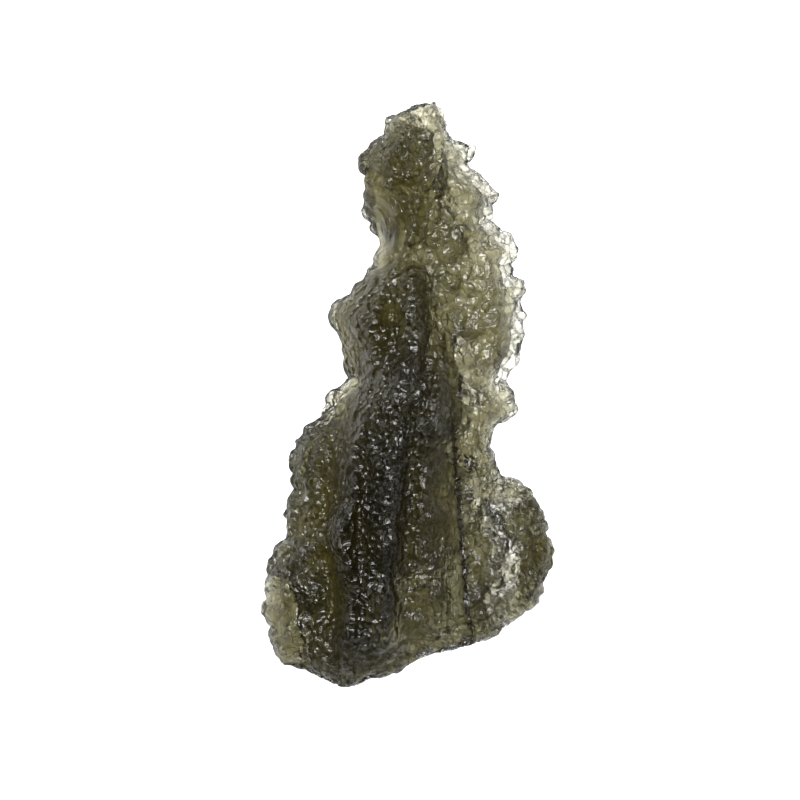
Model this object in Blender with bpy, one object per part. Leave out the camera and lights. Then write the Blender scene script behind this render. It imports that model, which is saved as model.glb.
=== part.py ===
# Moldavite tektite: one flattened, deeply etched piece of natural glass, lying on its flatter side.
# Lengths are in millimetres, with +Y towards the narrow tip, +X towards the thin toothed fin and +Z up.
# The finished mesh is scaled to metres, with its origin under the middle of the stone.

import bmesh
import bpy
import numpy as np

METRES_PER_MM = 0.001

# Mesh: rings from foot to tip, and points round each ring
RINGS = 84
POINTS_PER_RING = 60
TOP_POINTS = 36            # of the points of a ring, those on top
RING_CROWDING = 0.30       # 0 spaces the rings evenly, 1 crowds them at tip and foot as on a sphere
RIM_CROWDING = 0.45        # the same for the points of a ring at its two rims
BODY_STARTS = 0.20         # the share of a ring's points that lies left of the thick body
BODY_ENDS = 0.68
LEAST_FLANK = 0.12         # the least share of a ring's width that is meshed as flank

# Heights above and below the rim
HALF_LENGTH = 20.85
RIM_AT_FOOT = 3.5          # height of the rim above the surface that the stone rests on
RIM_AT_TIP = 2.1
RIM_WAVE = 0.4             # how far the rim rises and falls along the stone
RIM_WAVE_SPACING = 9.0
WEDGE_TOP = 2.6            # width over which the flanks thicken inwards on top
FIN_WEDGE = 1.2            # the same on the fin
FIN_RIM = 0.9              # width of the thin lobes along the fin's rim
WEDGE_BASE = 4.6           # width over which they thicken below
BODY_BASE = 3.10           # how far the body reaches below the rim
BASE_LEAN = 0.12           # it reaches this much less for each millimetre right of its crest
FIN_BASE = 0.50            # share of that reach under the fin
FIN_FROM = (1.8, -4.0)     # across and along, where the fin's thinner base sets in
FIN_FADE = (2.0, 5.0)      # and over how much it does
LEAST_SHARE = 0.5          # share of the rim's half thickness that no pit or furrow cuts away
REST_PRESS = 0.25          # how far the bumps that carry the stone are cut off flat where it rests
REST_STRETCH = 1.35        # how much longer than wide those bumps are
REST_WANDER = 1.1          # how unevenly round they are
REST_WANDER_SPACING = 1.9
UNDERSIDE_LUMP = 1.5       # how strong lumps and cups are on the underside, against the top
ROUNDING = 0.30            # width of the rounding at the rim, as a share of the height there
LEAST_ROUNDING = 0.35

# The outline seen from above: (along the stone, across it), from the tip to the foot
RIGHT_EDGE = [
    (20.85, 2.1), (20.3, 2.45), (19.2, 2.85), (18.1, 3.2),          # tip
    (17.9, 3.9), (17.7, 4.9), (17.2, 5.0), (16.4, 4.7),             # first tooth of the fin
    (15.9, 4.95), (15.0, 5.8), (14.3, 6.45), (13.1, 6.4), (12.4, 6.0),
    (11.6, 6.9), (11.3, 7.5), (10.3, 7.85), (9.1, 7.5),
    (8.3, 7.65), (8.0, 8.25), (7.3, 8.5), (6.7, 8.1),
    (5.6, 8.3), (4.9, 8.15), (3.7, 8.35), (2.2, 8.0), (0.75, 7.05),
    (0.0, 7.45), (-1.3, 7.8), (-2.1, 7.1), (-2.5, 6.2),             # hooked tooth and the bay under it
    (-3.9, 6.0), (-4.5, 6.4), (-4.9, 6.2), (-5.9, 6.7),
    (-6.2, 7.4), (-6.5, 8.3), (-7.1, 9.0), (-8.3, 9.7),             # broad lobe at lower right
    (-10.0, 9.95), (-11.2, 10.25), (-12.6, 10.15), (-15.0, 9.4),
    (-15.6, 8.6), (-16.2, 7.7), (-17.3, 6.3), (-17.8, 4.9),         # slanting foot
    (-18.3, 3.0), (-18.8, 1.0), (-19.6, -0.2), (-20.0, -1.0),
    (-20.3, -2.9), (-20.85, -3.6),
]
LEFT_EDGE = [
    (20.85, 2.1), (20.6, 1.0), (20.2, -0.3), (19.7, -1.4),          # tip
    (18.6, -1.9), (17.7, -2.8), (17.0, -3.6), (16.2, -3.6), (15.6, -2.9),
    (14.0, -2.95), (13.0, -3.25), (12.1, -2.5), (10.6, -2.0),       # mouth of the bowl
    (9.6, -2.3), (8.5, -2.9), (7.0, -4.1), (6.3, -5.3),
    (5.1, -5.55), (4.6, -5.1), (2.0, -4.6), (0.9, -4.1),            # shoulder
    (0.3, -4.9), (-0.4, -5.6), (-1.1, -5.7), (-2.5, -7.2),
    (-3.6, -8.1), (-5.2, -8.2), (-7.0, -8.1), (-8.4, -8.9),
    (-9.5, -8.55), (-10.5, -8.5), (-10.9, -9.3), (-12.0, -9.9),     # lobe at lower left
    (-13.7, -10.15), (-15.0, -10.0), (-15.8, -10.25), (-16.6, -9.75),
    (-17.6, -9.9), (-18.5, -9.4), (-19.2, -9.1), (-19.6, -7.3),
    (-20.0, -6.5), (-20.7, -4.8), (-20.85, -3.6),
]
FOOT_STARTS_RIGHT = -15.3  # the outline beyond these places along the stone is the foot
FOOT_STARTS_LEFT = -19.0

# Half the stone's thickness close to the rim: (along, at the left rim, at the right rim)
RIM = [
    (20.8, 0.5, 0.5), (17.8, 1.2, 0.4), (12.0, 0.8, 0.4), (7.0, 1.2, 0.4), (4.0, 1.3, 0.4), (0.5, 0.8, 0.4),
    (-2.0, 0.7, 0.5), (-6.0, 1.4, 0.7), (-9.0, 1.5, 0.8), (-14.0, 1.6, 0.8), (-16.5, 1.9, 1.8),
    (-20.8, 2.0, 2.0),
]

# The thick body between the fin and the left lobes: (along, its left edge, its right edge, its rise above
# the rim, the rise of the left flank, the rise of the right flank, the width of the right-hand fall)
BODY = [
    (20.8, -2.0, 3.3, 1.0, 0.8, 0.7, 0.6),
    (18.5, -2.9, 3.0, 2.3, 1.3, 1.1, 0.6),
    (15.0, -3.2, 2.7, 3.0, 1.4, 1.6, 0.7),
    (12.0, -3.0, 2.3, 3.4, 1.5, 1.7, 0.8),
    (8.3, -3.4, 2.5, 2.9, 1.5, 2.1, 0.9),
    (6.9, -5.2, 2.6, 4.4, 1.8, 2.1, 1.0),
    (3.0, -5.0, 2.9, 4.8, 1.9, 1.9, 1.4),
    (0.0, -4.3, 3.5, 5.2, 1.9, 1.6, 1.8),
    (-5.0, -5.8, 4.3, 5.6, 2.4, 1.6, 2.2),
    (-10.0, -6.3, 4.5, 5.5, 2.7, 1.2, 1.8),
    (-14.0, -5.9, 4.8, 4.9, 2.5, 1.2, 1.5),
    (-16.5, -5.9, 4.8, 4.4, 2.2, 2.1, 1.5),
    (-20.8, -6.0, 4.0, 3.4, 2.0, 2.0, 1.5),
]
LEFT_FALL = 2.1            # width of the body's left-hand fall
BODY_EDGE_WANDER = 0.6     # how far the body's edges wander from side to side
BODY_EDGE_SPACING = 2.4
LEDGE_SLANT = 0.33         # the ledge above the shoulder runs up to the right at this slope
RIGHT_LEAN = 0.27          # the body loses this much height for each millimetre right of its crest
CREST_ACROSS = -2.2

# Bowls and pits scooped out of the top: (across, along, radius, depth)
BOWLS = [
    (-3.0, 11.4, 3.7, 1.2),     # the large ribbed bowl above the shoulder
    (6.9, -3.4, 1.7, 0.9),      # bay under the hooked tooth
    (6.9, -9.2, 2.2, 0.8),      # the scooped lobe at lower right
    (6.5, -13.0, 2.0, 0.8),
    (0.8, 19.7, 1.4, 1.3),      # thin place at the tip
    (-7.0, -1.0, 2.6, 0.7),
    (-8.0, -9.6, 1.8, 0.7),
    (3.4, 6.7, 0.9, 0.7), (4.7, 6.6, 0.8, 0.6), (3.5, 5.2, 0.8, 0.6), (3.4, 8.9, 1.0, 0.6),
    (5.2, 9.9, 1.4, 0.5), (3.8, 13.3, 1.1, 0.6), (5.0, 3.3, 1.1, 0.5), (-1.2, 5.3, 0.9, 0.7),
    (-0.2, 14.4, 0.9, 0.8), (4.6, -6.6, 1.0, 0.6), (-6.0, -12.1, 1.1, 0.7), (7.6, -11.6, 1.6, 0.5),
    (6.6, 0.0, 0.9, 0.4), (-7.8, -16.6, 1.6, 1.0),
]
# Ribs round the middle of the large bowl
RIB_MIDDLE = (-3.4, 11.6)
RIB_SPACING = 0.95
RIB_HEIGHT = 0.24
RIB_REACH = 5.2

# Broad bumps of the underside, where the stone rests: (across, along, radius)
RESTS = [(-0.6, 14.6, 2.3), (-1.6, 4.2, 2.9), (-5.0, -9.6, 3.0), (8.5, -11.0, 1.5), (-4.4, -16.2, 2.1)]

# Long furrows and ridges of the flow: (half width, depth, path across and along); a ridge's depth is negative
FURROWS = [
    (0.85, 0.55, [(0.9, -2.0), (0.1, -6.0), (-0.2, -10.0), (-0.2, -14.0), (0.2, -18.2)]),
    (0.42, 1.35, [(3.2, -2.5), (3.7, -8.0), (4.0, -12.0), (4.2, -15.0), (4.6, -17.0)]),
    (0.65, 0.70, [(-6.0, -6.0), (-5.7, -9.0), (-5.2, -13.0), (-5.1, -18.0)]),
    (0.70, 0.65, [(-1.2, 6.0), (-1.6, 2.0), (-2.6, -3.0), (-3.2, -8.0), (-3.4, -16.0)]),
    (0.60, 0.55, [(1.6, 14.0), (1.4, 10.0), (1.8, 5.0), (1.5, 1.0)]),
    (0.65, -0.60, [(0.6, 8.0), (0.5, 3.0), (-0.2, -1.0), (-1.0, -5.0), (-1.4, -10.0), (-1.6, -17.5)]),
    (0.45, -0.45, [(2.1, 20.0), (2.5, 17.5), (2.1, 14.0), (1.8, 11.0)]),
    (0.40, -0.50, [(6.9, -1.5), (5.8, -1.7), (5.2, -2.4), (5.1, -3.6), (5.6, -4.8)]),
    (0.75, -0.90, [(7.4, -6.3), (8.8, -8.0), (9.3, -11.0), (9.0, -13.5), (8.0, -15.2)]),
]
FURROWS_BELOW = [
    (0.9, 0.75, [(2.4, 16.0), (1.5, 8.0), (0.4, 0.0), (-0.6, -8.0), (0.5, -15.0)]),
    (0.7, 0.60, [(-2.4, 4.0), (-3.6, -3.0), (-4.6, -12.0), (-4.0, -18.0)]),
    (0.7, 0.55, [(3.6, 3.0), (4.4, -4.0), (4.6, -12.0)]),
    (0.60, 2.40, [(-0.9, -4.0), (-1.4, -10.0), (-1.6, -17.5)]),
    (1.60, 1.60, [(7.0, -8.0), (7.0, -10.0), (6.4, -14.0)]),
    (0.75, -0.60, [(8.0, -6.8), (9.0, -8.0), (9.4, -11.0), (9.0, -13.5), (8.0, -15.2)]),
    (1.00, 1.50, [(3.0, -12.0), (3.0, -15.5)]),
    (1.00, 1.30, [(-8.3, -15.5), (-7.9, -17.6)]),
    (0.80, 1.00, [(0.6, 19.0), (1.4, 20.3)]),
]

FURROW_BREAKS = 0.45       # how unevenly deep a furrow is along its way
FURROW_BREAK_SPACING = 1.9

# Etched cups: (cell size, depth on the body, depth on the thin flanks)
CUPS = [
    (2.7, 0.65, 0.35),
    (1.5, 0.45, 0.30),
]
CUP_STRETCH = 0.7          # their width as a share of their length along the stone
CUP_LEVEL = 0.45           # the part of a cup's depth that lies under the general surface
CUP_FILL = 0.75            # squared distance from a cup's middle, in cells, at which its rim levels out
LUMP = 0.45                # rise and fall of the broad lumps
LUMP_ON_FLANK = 0.4        # share of it on the thin flanks
LUMP_SPACING = 4.5
FOOT_BEVEL = 2.3           # width of the broken slope along the foot
FOOT_BEVEL_LEFT = 0.60     # share of the height left at the foot's rim
OUTLINE_STEP = 0.1
EDGE_NOTCH = 0.16          # depth of the small notches all along the outline
EDGE_NOTCH_SPACING = 1.1
NOTCH_FADE = 1.5
SEED_TOP = 3
SEED_BELOW = 11
SEED_EDGE = 23

GLASS_COLOUR = (0.20, 0.19, 0.11, 1.0)
GLASS_IOR = 1.49
GLASS_ROUGHNESS = 0.22


def hashed(cell, seed):
    """A repeatable share from 0 to 1 for each whole-number cell of an (..., n) array."""
    mixed = np.full(cell.shape[:-1], seed * 9973 + 101, np.uint32)
    for axis in range(cell.shape[-1]):
        mixed = (mixed ^ cell[..., axis].astype(np.int64).astype(np.uint32)) * np.uint32(2654435761)
        mixed ^= mixed >> np.uint32(15)
    mixed = (mixed * np.uint32(2246822519)) ^ (mixed >> np.uint32(13))
    return mixed.astype(np.float64) / 4294967295.0


def cups(points, size, seed):
    """Rounded cups with sharp rims: 0 at the middle of each cell, near 1 where two cells meet."""
    scaled = points / size
    base = np.floor(scaled)
    nearest = np.full(len(points), 9.0)
    steps = (-1, 0, 1)
    for offset in [(i, j, k) for i in steps for j in steps for k in steps]:
        cell = base + np.array(offset)
        middle = np.stack([hashed(cell, seed + axis) for axis in range(3)], axis=-1)
        nearest = np.minimum(nearest, ((cell + middle - scaled) ** 2).sum(axis=-1))
    return np.minimum(nearest / CUP_FILL, 1.0)


def smooth_noise(points, spacing, seed):
    """Smooth noise from -1 to 1, for an (n, axes) array of points."""
    whole = np.floor(points / spacing)
    part = eased(points / spacing - whole)
    total = np.zeros(len(points))
    for corner in np.ndindex(*[2] * points.shape[1]):
        near = np.where(corner, part, 1 - part).prod(axis=1)
        total += near * hashed(whole + np.array(corner), seed)
    return 2 * total - 1


def wave(along, spacing, seed):
    """Smooth noise from -1 to 1 along one line."""
    return smooth_noise(along[:, None], spacing, seed)


def eased(share):
    """0 to 1 with soft ends."""
    share = np.clip(share, 0.0, 1.0)
    return share * share * (3 - 2 * share)


def across_at(along, edge, seed):
    """Where an edge of the outline lies across the stone, with small notches that fade out at its ends."""
    places, across = np.array(sorted(edge)).T
    fade = np.clip((HALF_LENGTH - np.abs(along)) / NOTCH_FADE, 0.0, 1.0)
    return np.interp(along, places, across) + EDGE_NOTCH * fade * wave(along, EDGE_NOTCH_SPACING, seed)


def edges_at(along):
    """The left and right edges of the outline."""
    return across_at(along, LEFT_EDGE, SEED_EDGE), across_at(along, RIGHT_EDGE, SEED_EDGE + 1)


def distance_to_points(across, along, places):
    """From each point to the nearest of the places, seen from above."""
    gaps = (across[:, None] - places[:, 0]) ** 2 + (along[:, None] - places[:, 1]) ** 2
    return np.sqrt(gaps.min(axis=1))


def distance_to_path(across, along, path):
    """From each point to a path of straight stretches, seen from above."""
    points = np.stack([across, along], axis=-1)
    nearest = np.full(len(points), np.inf)
    for start, end in zip(np.array(path)[:-1], np.array(path)[1:]):
        run = end - start
        share = np.clip((points - start) @ run / (run @ run), 0.0, 1.0)
        gap = points - start - share[:, None] * run
        nearest = np.minimum(nearest, np.hypot(gap[:, 0], gap[:, 1]))
    return nearest


def rim_distances(across, along):
    """Distances to the whole outline, to its sides without the foot, and to the foot."""
    places = np.arange(-HALF_LENGTH, HALF_LENGTH, OUTLINE_STEP)
    left, right = edges_at(places)
    outline = np.concatenate([np.stack([left, places], -1), np.stack([right, places], -1)])
    starts = np.repeat([FOOT_STARTS_LEFT, FOOT_STARTS_RIGHT], len(places))
    on_foot = outline[:, 1] < starts
    to_foot = distance_to_points(across, along, outline[on_foot])
    to_side = distance_to_points(across, along, outline[~on_foot])
    left, right = edges_at(along)
    to_rim = np.minimum(np.minimum(to_foot, to_side), np.minimum(across - left, right - across))
    return np.maximum(to_rim, 0.0), to_side, to_foot


def rounded(distance, height):
    """Share of the full height at a distance from the rim, a quarter ellipse."""
    inwards = np.clip(distance / (LEAST_ROUNDING + ROUNDING * height), 0.0, 1.0)
    return np.sqrt(1 - (1 - inwards) ** 2)


def body_edges(along):
    """The left and right edges of the thick body."""
    table = np.array(sorted(BODY)).T
    left = np.interp(along, table[0], table[1])
    right = np.interp(along, table[0], table[2])
    left += BODY_EDGE_WANDER * wave(along, BODY_EDGE_SPACING, SEED_EDGE + 3)
    right += BODY_EDGE_WANDER * wave(along, BODY_EDGE_SPACING, SEED_EDGE + 4)
    return left, right


def body_form(across, along):
    """The share of the thick body, 1 on it and 0 on the flanks, and how far body and flank rise."""
    table = np.array(sorted(BODY)).T
    left, right = body_edges(along)
    left_rise, right_rise, fall = (np.interp(along, table[0], row) for row in table[4:])
    rise = np.interp(along - LEDGE_SLANT * (across - CREST_ACROSS), table[0], table[3])
    rise -= RIGHT_LEAN * np.maximum(across - CREST_ACROSS, 0.0)
    share = eased((across - left) / LEFT_FALL) * eased((right - across) / fall)
    flank = np.where(across < (left + right) / 2, left_rise, right_rise)
    return share, rise, flank


def furrowed(across, along, furrows, seed):
    """What furrows take off a surface, or ridges add."""
    taken = np.zeros(len(across))
    for number, (half_width, depth, path) in enumerate(furrows):
        uneven = 1 + FURROW_BREAKS * wave(along, FURROW_BREAK_SPACING, seed + 20 + number)
        taken += depth * uneven * np.exp(-((distance_to_path(across, along, path) / half_width) ** 2))
    return taken


def lumps_and_cups(across, along, share, seed):
    """What broad lumps and etched cups, longer than wide, take off a surface."""
    plan = np.stack([across, along * CUP_STRETCH], axis=-1)
    taken = LUMP * (LUMP_ON_FLANK + (1 - LUMP_ON_FLANK) * share) * smooth_noise(plan, LUMP_SPACING, seed)
    points = np.column_stack([plan, np.full(len(across), float(seed))])
    for size, on_body, on_flank in CUPS:
        taken += (on_flank + (on_body - on_flank) * share) * (CUP_LEVEL - cups(points, size, seed))
    return taken


def dome(across, along, middle_across, middle_along, radius, stretch=1.0):
    """1 at a middle, falling softly to 0 at a radius from it, or further along the stone with a stretch."""
    gap = np.hypot(across - middle_across, (along - middle_along) / stretch) / radius
    return np.clip(1 - gap**2, 0.0, None)


def bowl_ribs(across, along):
    """Ribs in rings round the large bowl's middle, which fade outwards."""
    gap = np.hypot(across - RIB_MIDDLE[0], along - RIB_MIDDLE[1])
    fade = eased((RIB_REACH - gap) / RIB_SPACING)
    return RIB_HEIGHT * fade * np.cos(2 * np.pi * gap / RIB_SPACING)


def thinness(across, along):
    """Half the stone's thickness near the rim, eased from the left rim's to the right rim's."""
    table = np.array(sorted(RIM)).T
    left_half, right_half = np.interp(along, table[0], table[1]), np.interp(along, table[0], table[2])
    left, right = edges_at(along)
    way = eased((across - left) / np.maximum(right - left, OUTLINE_STEP))
    return left_half + (right_half - left_half) * way


def fin_share(across, along):
    """1 in the fin and 0 elsewhere, with soft ends."""
    return eased((across - FIN_FROM[0]) / FIN_FADE[0]) * eased((along - FIN_FROM[1]) / FIN_FADE[1])


def rise_above_rim(across, along):
    """Height of the top surface over the rim."""
    to_rim, to_side, to_foot = rim_distances(across, along)
    share, body, flank = body_form(across, along)
    thin, fin = thinness(across, along), fin_share(across, along)
    wedge = WEDGE_TOP + (FIN_WEDGE - WEDGE_TOP) * fin
    flank = thin + (flank - thin) * eased((to_side - FIN_RIM * fin) / wedge)
    height = flank + (body - flank) * share
    for middle_across, middle_along, radius, depth in BOWLS:
        height -= depth * dome(across, along, middle_across, middle_along, radius)
    height = np.maximum(height + share * bowl_ribs(across, along), thin)
    height *= FOOT_BEVEL_LEFT + (1 - FOOT_BEVEL_LEFT) * eased(to_foot / FOOT_BEVEL)
    taken = furrowed(across, along, FURROWS, SEED_TOP) + lumps_and_cups(across, along, share, SEED_TOP)
    return np.maximum(height - taken, LEAST_SHARE * thin) * rounded(to_rim, height)


def reach_below_rim(across, along):
    """Depth of the underside under the rim."""
    to_rim, to_side, _ = rim_distances(across, along)
    share, _, _ = body_form(across, along)
    thin = thinness(across, along)
    full = BODY_BASE - BASE_LEAN * np.maximum(across - CREST_ACROSS, 0.0)
    full *= 1 - (1 - FIN_BASE) * fin_share(across, along)
    reach = thin + (full - thin) * eased(to_side / WEDGE_BASE)
    plan = np.stack([across, along], axis=-1)
    wander = REST_WANDER * smooth_noise(plan, REST_WANDER_SPACING, SEED_BELOW + 5)
    rest = np.max([eased(dome(across + wander, along, *bump, REST_STRETCH)) for bump in RESTS], axis=0)
    reach -= furrowed(across, along, FURROWS_BELOW, SEED_BELOW)
    reach -= UNDERSIDE_LUMP * lumps_and_cups(across, along, share, SEED_BELOW)
    to_ground = rim_height(along) + REST_PRESS
    cut = np.maximum(reach + (to_ground - reach) * rest, LEAST_SHARE * thin)
    return cut * rounded(to_rim, reach)


def rim_height(along):
    """Height of the rim, which sinks towards the tip and waves gently on the way."""
    sinking = (HALF_LENGTH - along) / (2 * HALF_LENGTH)
    waving = RIM_WAVE * wave(along, RIM_WAVE_SPACING, SEED_EDGE + 2)
    return RIM_AT_TIP + (RIM_AT_FOOT - RIM_AT_TIP) * sinking + waving


def across_ring(share, along):
    """Where a share of a ring's points, counted from the left rim, has come to across the stone."""
    left, right = edges_at(along)
    body_left, body_right = body_edges(along)
    flank = LEAST_FLANK * (right - left)
    body_left = np.clip(body_left, left + flank, right - 3 * flank)
    body_right = np.clip(body_right, body_left + flank, right - flank)
    on_left = left + (body_left - left) * share / BODY_STARTS
    on_body = body_left + (body_right - body_left) * (share - BODY_STARTS) / (BODY_ENDS - BODY_STARTS)
    on_right = body_right + (right - body_right) * (share - BODY_ENDS) / (1 - BODY_ENDS)
    return np.where(share < BODY_STARTS, on_left, np.where(share < BODY_ENDS, on_body, on_right))


def stone_surface(latitude, turn):
    """Points of the stone for a sphere's latitude, from foot to tip, and its turn from 0 to 1,
    from the right rim over the top to the left rim and back below."""
    even = latitude / (np.pi / 2)
    along = HALF_LENGTH * ((1 - RING_CROWDING) * even + RING_CROWDING * np.sin(latitude))
    top_share = TOP_POINTS / POINTS_PER_RING
    on_top = turn < top_share
    from_right = np.where(on_top, turn / top_share, (1 - turn) / (1 - top_share))
    crowded = (1 - RIM_CROWDING) * from_right + RIM_CROWDING * (1 - np.cos(np.pi * from_right)) / 2
    across = across_ring(1 - crowded, along)
    height = np.where(on_top, rise_above_rim(across, along), -reach_below_rim(across, along))
    return np.stack([across, along, np.maximum(rim_height(along) + height, 0.0)], axis=-1)


def settled(points):
    """The points moved so that the stone rests at height 0 with its middle over the origin."""
    low, high = points.min(axis=0), points.max(axis=0)
    return points - np.array([(low[0] + high[0]) / 2, (low[1] + high[1]) / 2, low[2]])


def glass_material():
    """Olive natural glass with an etched surface."""
    material = bpy.data.materials.new("moldavite_glass")
    material.use_nodes = True
    shader = material.node_tree.nodes["Principled BSDF"]
    shader.inputs["Base Color"].default_value = GLASS_COLOUR
    shader.inputs["Roughness"].default_value = GLASS_ROUGHNESS
    shader.inputs["Metallic"].default_value = 0.0
    shader.inputs["IOR"].default_value = GLASS_IOR
    shader.inputs["Transmission Weight"].default_value = 0.9
    return material


def stone():
    """The tektite, from a sphere whose points are carried to the stone's surface."""
    shape = bmesh.new()
    bmesh.ops.create_uvsphere(shape, u_segments=POINTS_PER_RING, v_segments=RINGS, radius=1.0)
    sphere = np.array([vertex.co for vertex in shape.verts])
    latitude = np.arcsin(np.clip(sphere[:, 2], -1.0, 1.0))
    turn = np.arctan2(sphere[:, 1], sphere[:, 0]) / (2 * np.pi) % 1.0
    points = settled(stone_surface(latitude, turn)) * METRES_PER_MM
    for vertex, place in zip(shape.verts, points):
        vertex.co = place
    bmesh.ops.triangulate(shape, faces=shape.faces)
    bmesh.ops.recalc_face_normals(shape, faces=shape.faces)
    mesh = bpy.data.meshes.new("tektite")
    shape.to_mesh(mesh)
    shape.free()
    mesh.materials.append(glass_material())
    mesh.shade_smooth()
    return bpy.data.objects.new("tektite", mesh)


def main():
    for leftover in list(bpy.data.objects):
        bpy.data.objects.remove(leftover)
    collection = bpy.data.collections.new("moldavite_tektite")
    bpy.context.scene.collection.children.link(collection)
    collection.objects.link(stone())


main()
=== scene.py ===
import bpy
import numpy as np
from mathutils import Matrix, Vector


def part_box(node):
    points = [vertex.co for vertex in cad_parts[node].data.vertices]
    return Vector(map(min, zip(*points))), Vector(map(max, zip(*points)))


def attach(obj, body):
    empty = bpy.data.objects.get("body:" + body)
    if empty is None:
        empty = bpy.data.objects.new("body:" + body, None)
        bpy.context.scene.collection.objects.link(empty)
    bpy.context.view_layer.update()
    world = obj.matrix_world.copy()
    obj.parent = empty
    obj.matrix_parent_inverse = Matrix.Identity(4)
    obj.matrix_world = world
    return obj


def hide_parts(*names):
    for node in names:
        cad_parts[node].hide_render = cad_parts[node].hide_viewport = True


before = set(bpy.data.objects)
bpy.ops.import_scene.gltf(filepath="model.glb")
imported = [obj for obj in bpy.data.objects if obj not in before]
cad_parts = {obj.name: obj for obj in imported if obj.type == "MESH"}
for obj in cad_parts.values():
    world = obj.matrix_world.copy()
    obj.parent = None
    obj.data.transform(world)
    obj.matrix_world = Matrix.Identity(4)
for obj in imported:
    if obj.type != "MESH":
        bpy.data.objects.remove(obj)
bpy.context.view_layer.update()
metresPerMm = 0.001
print("frame loaded")

# The form of the stone: the solid's outline and tables. Some rims, falls, hollows and rests were changed
# afterwards, to bring its tones nearer to the photo's.
stoneForm = {
    "rings": 419,                  # rings of points from foot to tip, between the two end points
    "ringPoints": 238,
    "topPoints": 142,              # of the points of a ring, those on top
    "ringCrowding": 0.30,          # 0 spaces the rings evenly, 1 crowds them at the ends as on a sphere
    "rimCrowding": 0.45,           # the same for the points of a ring at its two rims
    "bodyStarts": 0.20,            # share of a ring's points left of the thick body
    "bodyEnds": 0.68,
    "leastFlank": 0.12,            # share of the width that each flank gets at least
    "halfLength": 20.85,
    "rimAtFoot": 3.5,              # height of the rim above the table
    "rimAtTip": 2.1,
    "rimWave": 0.4,                # how far the rim waves up and down
    "rimWaveSpacing": 9.0,
    "wedgeTop": 2.6,               # widths over which the flanks thicken inwards
    "finWedge": 1.2,
    "finRim": 0.6,                 # width of the thin lobes along the fin's rim
    "wedgeBase": 4.6,
    "bodyBase": 3.10,              # reach of the body under the rim
    "baseLean": 0.12,              # loss of it for each millimetre right of the crest
    "finBase": 0.50,               # share of it under the fin
    "finFrom": (1.8, -4.0),        # across and along, where the fin's thinner base sets in
    "finFade": (2.0, 5.0),
    "leastShare": 0.5,             # of the rim's half thickness, what no pit cuts away
    "vault": 2.2,                  # how far hollows of the underside may rise over the rim
    "vaultFrom": (1.5, 3.5),       # distances from the rim between which they come to do so
    "restPress": 0.25,             # how far the rests would go below the table, which flattens their ends
    "restStretch": 1.35,           # length of a rest as a share of its width
    "restWander": 1.1,
    "restWanderSpacing": 1.9,
    "undersideLump": 1.5,          # lumps of the underside as a share of those of the top
    "rounding": 0.75,              # way from the rim over which it rounds off, as a share of the height there
    "footRounding": 0.30,
    "leastRounding": 0.35,
    "footStartsRight": -15.3,      # where the slanting foot begins on either side
    "footStartsLeft": -19.0,
    "leftFall": 2.5,               # width of the body's fall on the left
    "bodyEdgeWander": 0.6,
    "bodyEdgeSpacing": 2.4,
    "ledgeSlant": 0.33,            # how far along the body's ledges shift for each millimetre across
    "rightLean": 0.32,             # loss of height for each millimetre right of the crest
    "crestAcross": -2.2,
    "ribMiddle": (-3.4, 11.6),
    "ribSpacing": 0.95,
    "ribHeight": 0.24,
    "ribReach": 5.2,
    "furrowBreaks": 0.45,          # how unevenly deep a furrow is along its way
    "furrowBreakSpacing": 1.9,
    "cups": [(2.7, 0.65, 0.35), (1.5, 0.45, 0.30)],   # cell size, depth on the body, depth on the flanks
    "cupStretch": 0.7,
    "cupLevel": 0.45,
    "cupFill": 0.75,               # squared distance from a cup's middle at which it levels out, in cells
    "lump": 0.45,                  # depth of broad lumps on the body
    "lumpOnFlank": 0.4,            # share of it on the flanks
    "lumpSpacing": 4.5,
    "footBevel": 2.3,              # width of the foot's bevel
    "footBevelLeft": 0.60,         # share of the height left at its end
    "outlineStep": 0.1,
    "edgeNotch": 0.16,             # depths of the outline's small notches
    "edgeNotchSpacing": 1.1,
    "fineNotch": 0.11,
    "fineNotchSpacing": 0.42,
    "notchFade": 1.5,              # distance from foot and tip over which they fade out
    "seedTop": 3,
    "seedBelow": 11,
    "seedEdge": 23,
}

# The outline seen from above, from tip to foot: (along, across)
rightEdge = [
    (20.85, 2.1), (20.3, 2.45), (19.2, 2.85), (18.1, 3.2),          # tip
    (17.9, 3.9), (17.7, 4.9), (17.2, 5.0), (16.4, 4.7),             # first tooth of the fin
    (15.9, 4.95), (15.0, 5.8), (14.3, 6.45), (13.1, 6.4), (12.4, 6.0),
    (11.6, 6.9), (11.3, 7.5), (10.3, 7.85), (9.1, 7.5),
    (8.3, 7.65), (8.0, 8.25), (7.3, 8.5), (6.7, 8.1),
    (5.6, 8.3), (4.9, 8.15), (3.7, 8.35), (2.2, 8.0), (0.75, 7.05),
    (0.0, 7.45), (-1.3, 7.8), (-2.1, 7.1), (-2.5, 6.2),             # hooked tooth and the bay under it
    (-3.9, 6.0), (-4.5, 6.4), (-4.9, 6.2), (-5.9, 6.7),
    (-6.2, 7.4), (-6.5, 8.3), (-7.1, 9.0), (-8.3, 9.7),             # broad lobe at lower right
    (-10.0, 9.95), (-11.2, 10.25), (-12.6, 10.15), (-15.0, 9.4),
    (-15.6, 8.6), (-16.2, 7.7), (-17.3, 6.3), (-17.8, 4.9),         # slanting foot
    (-18.3, 3.0), (-18.8, 1.0), (-19.6, -0.2), (-20.0, -1.0),
    (-20.3, -2.9), (-20.85, -3.6),
]
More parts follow.
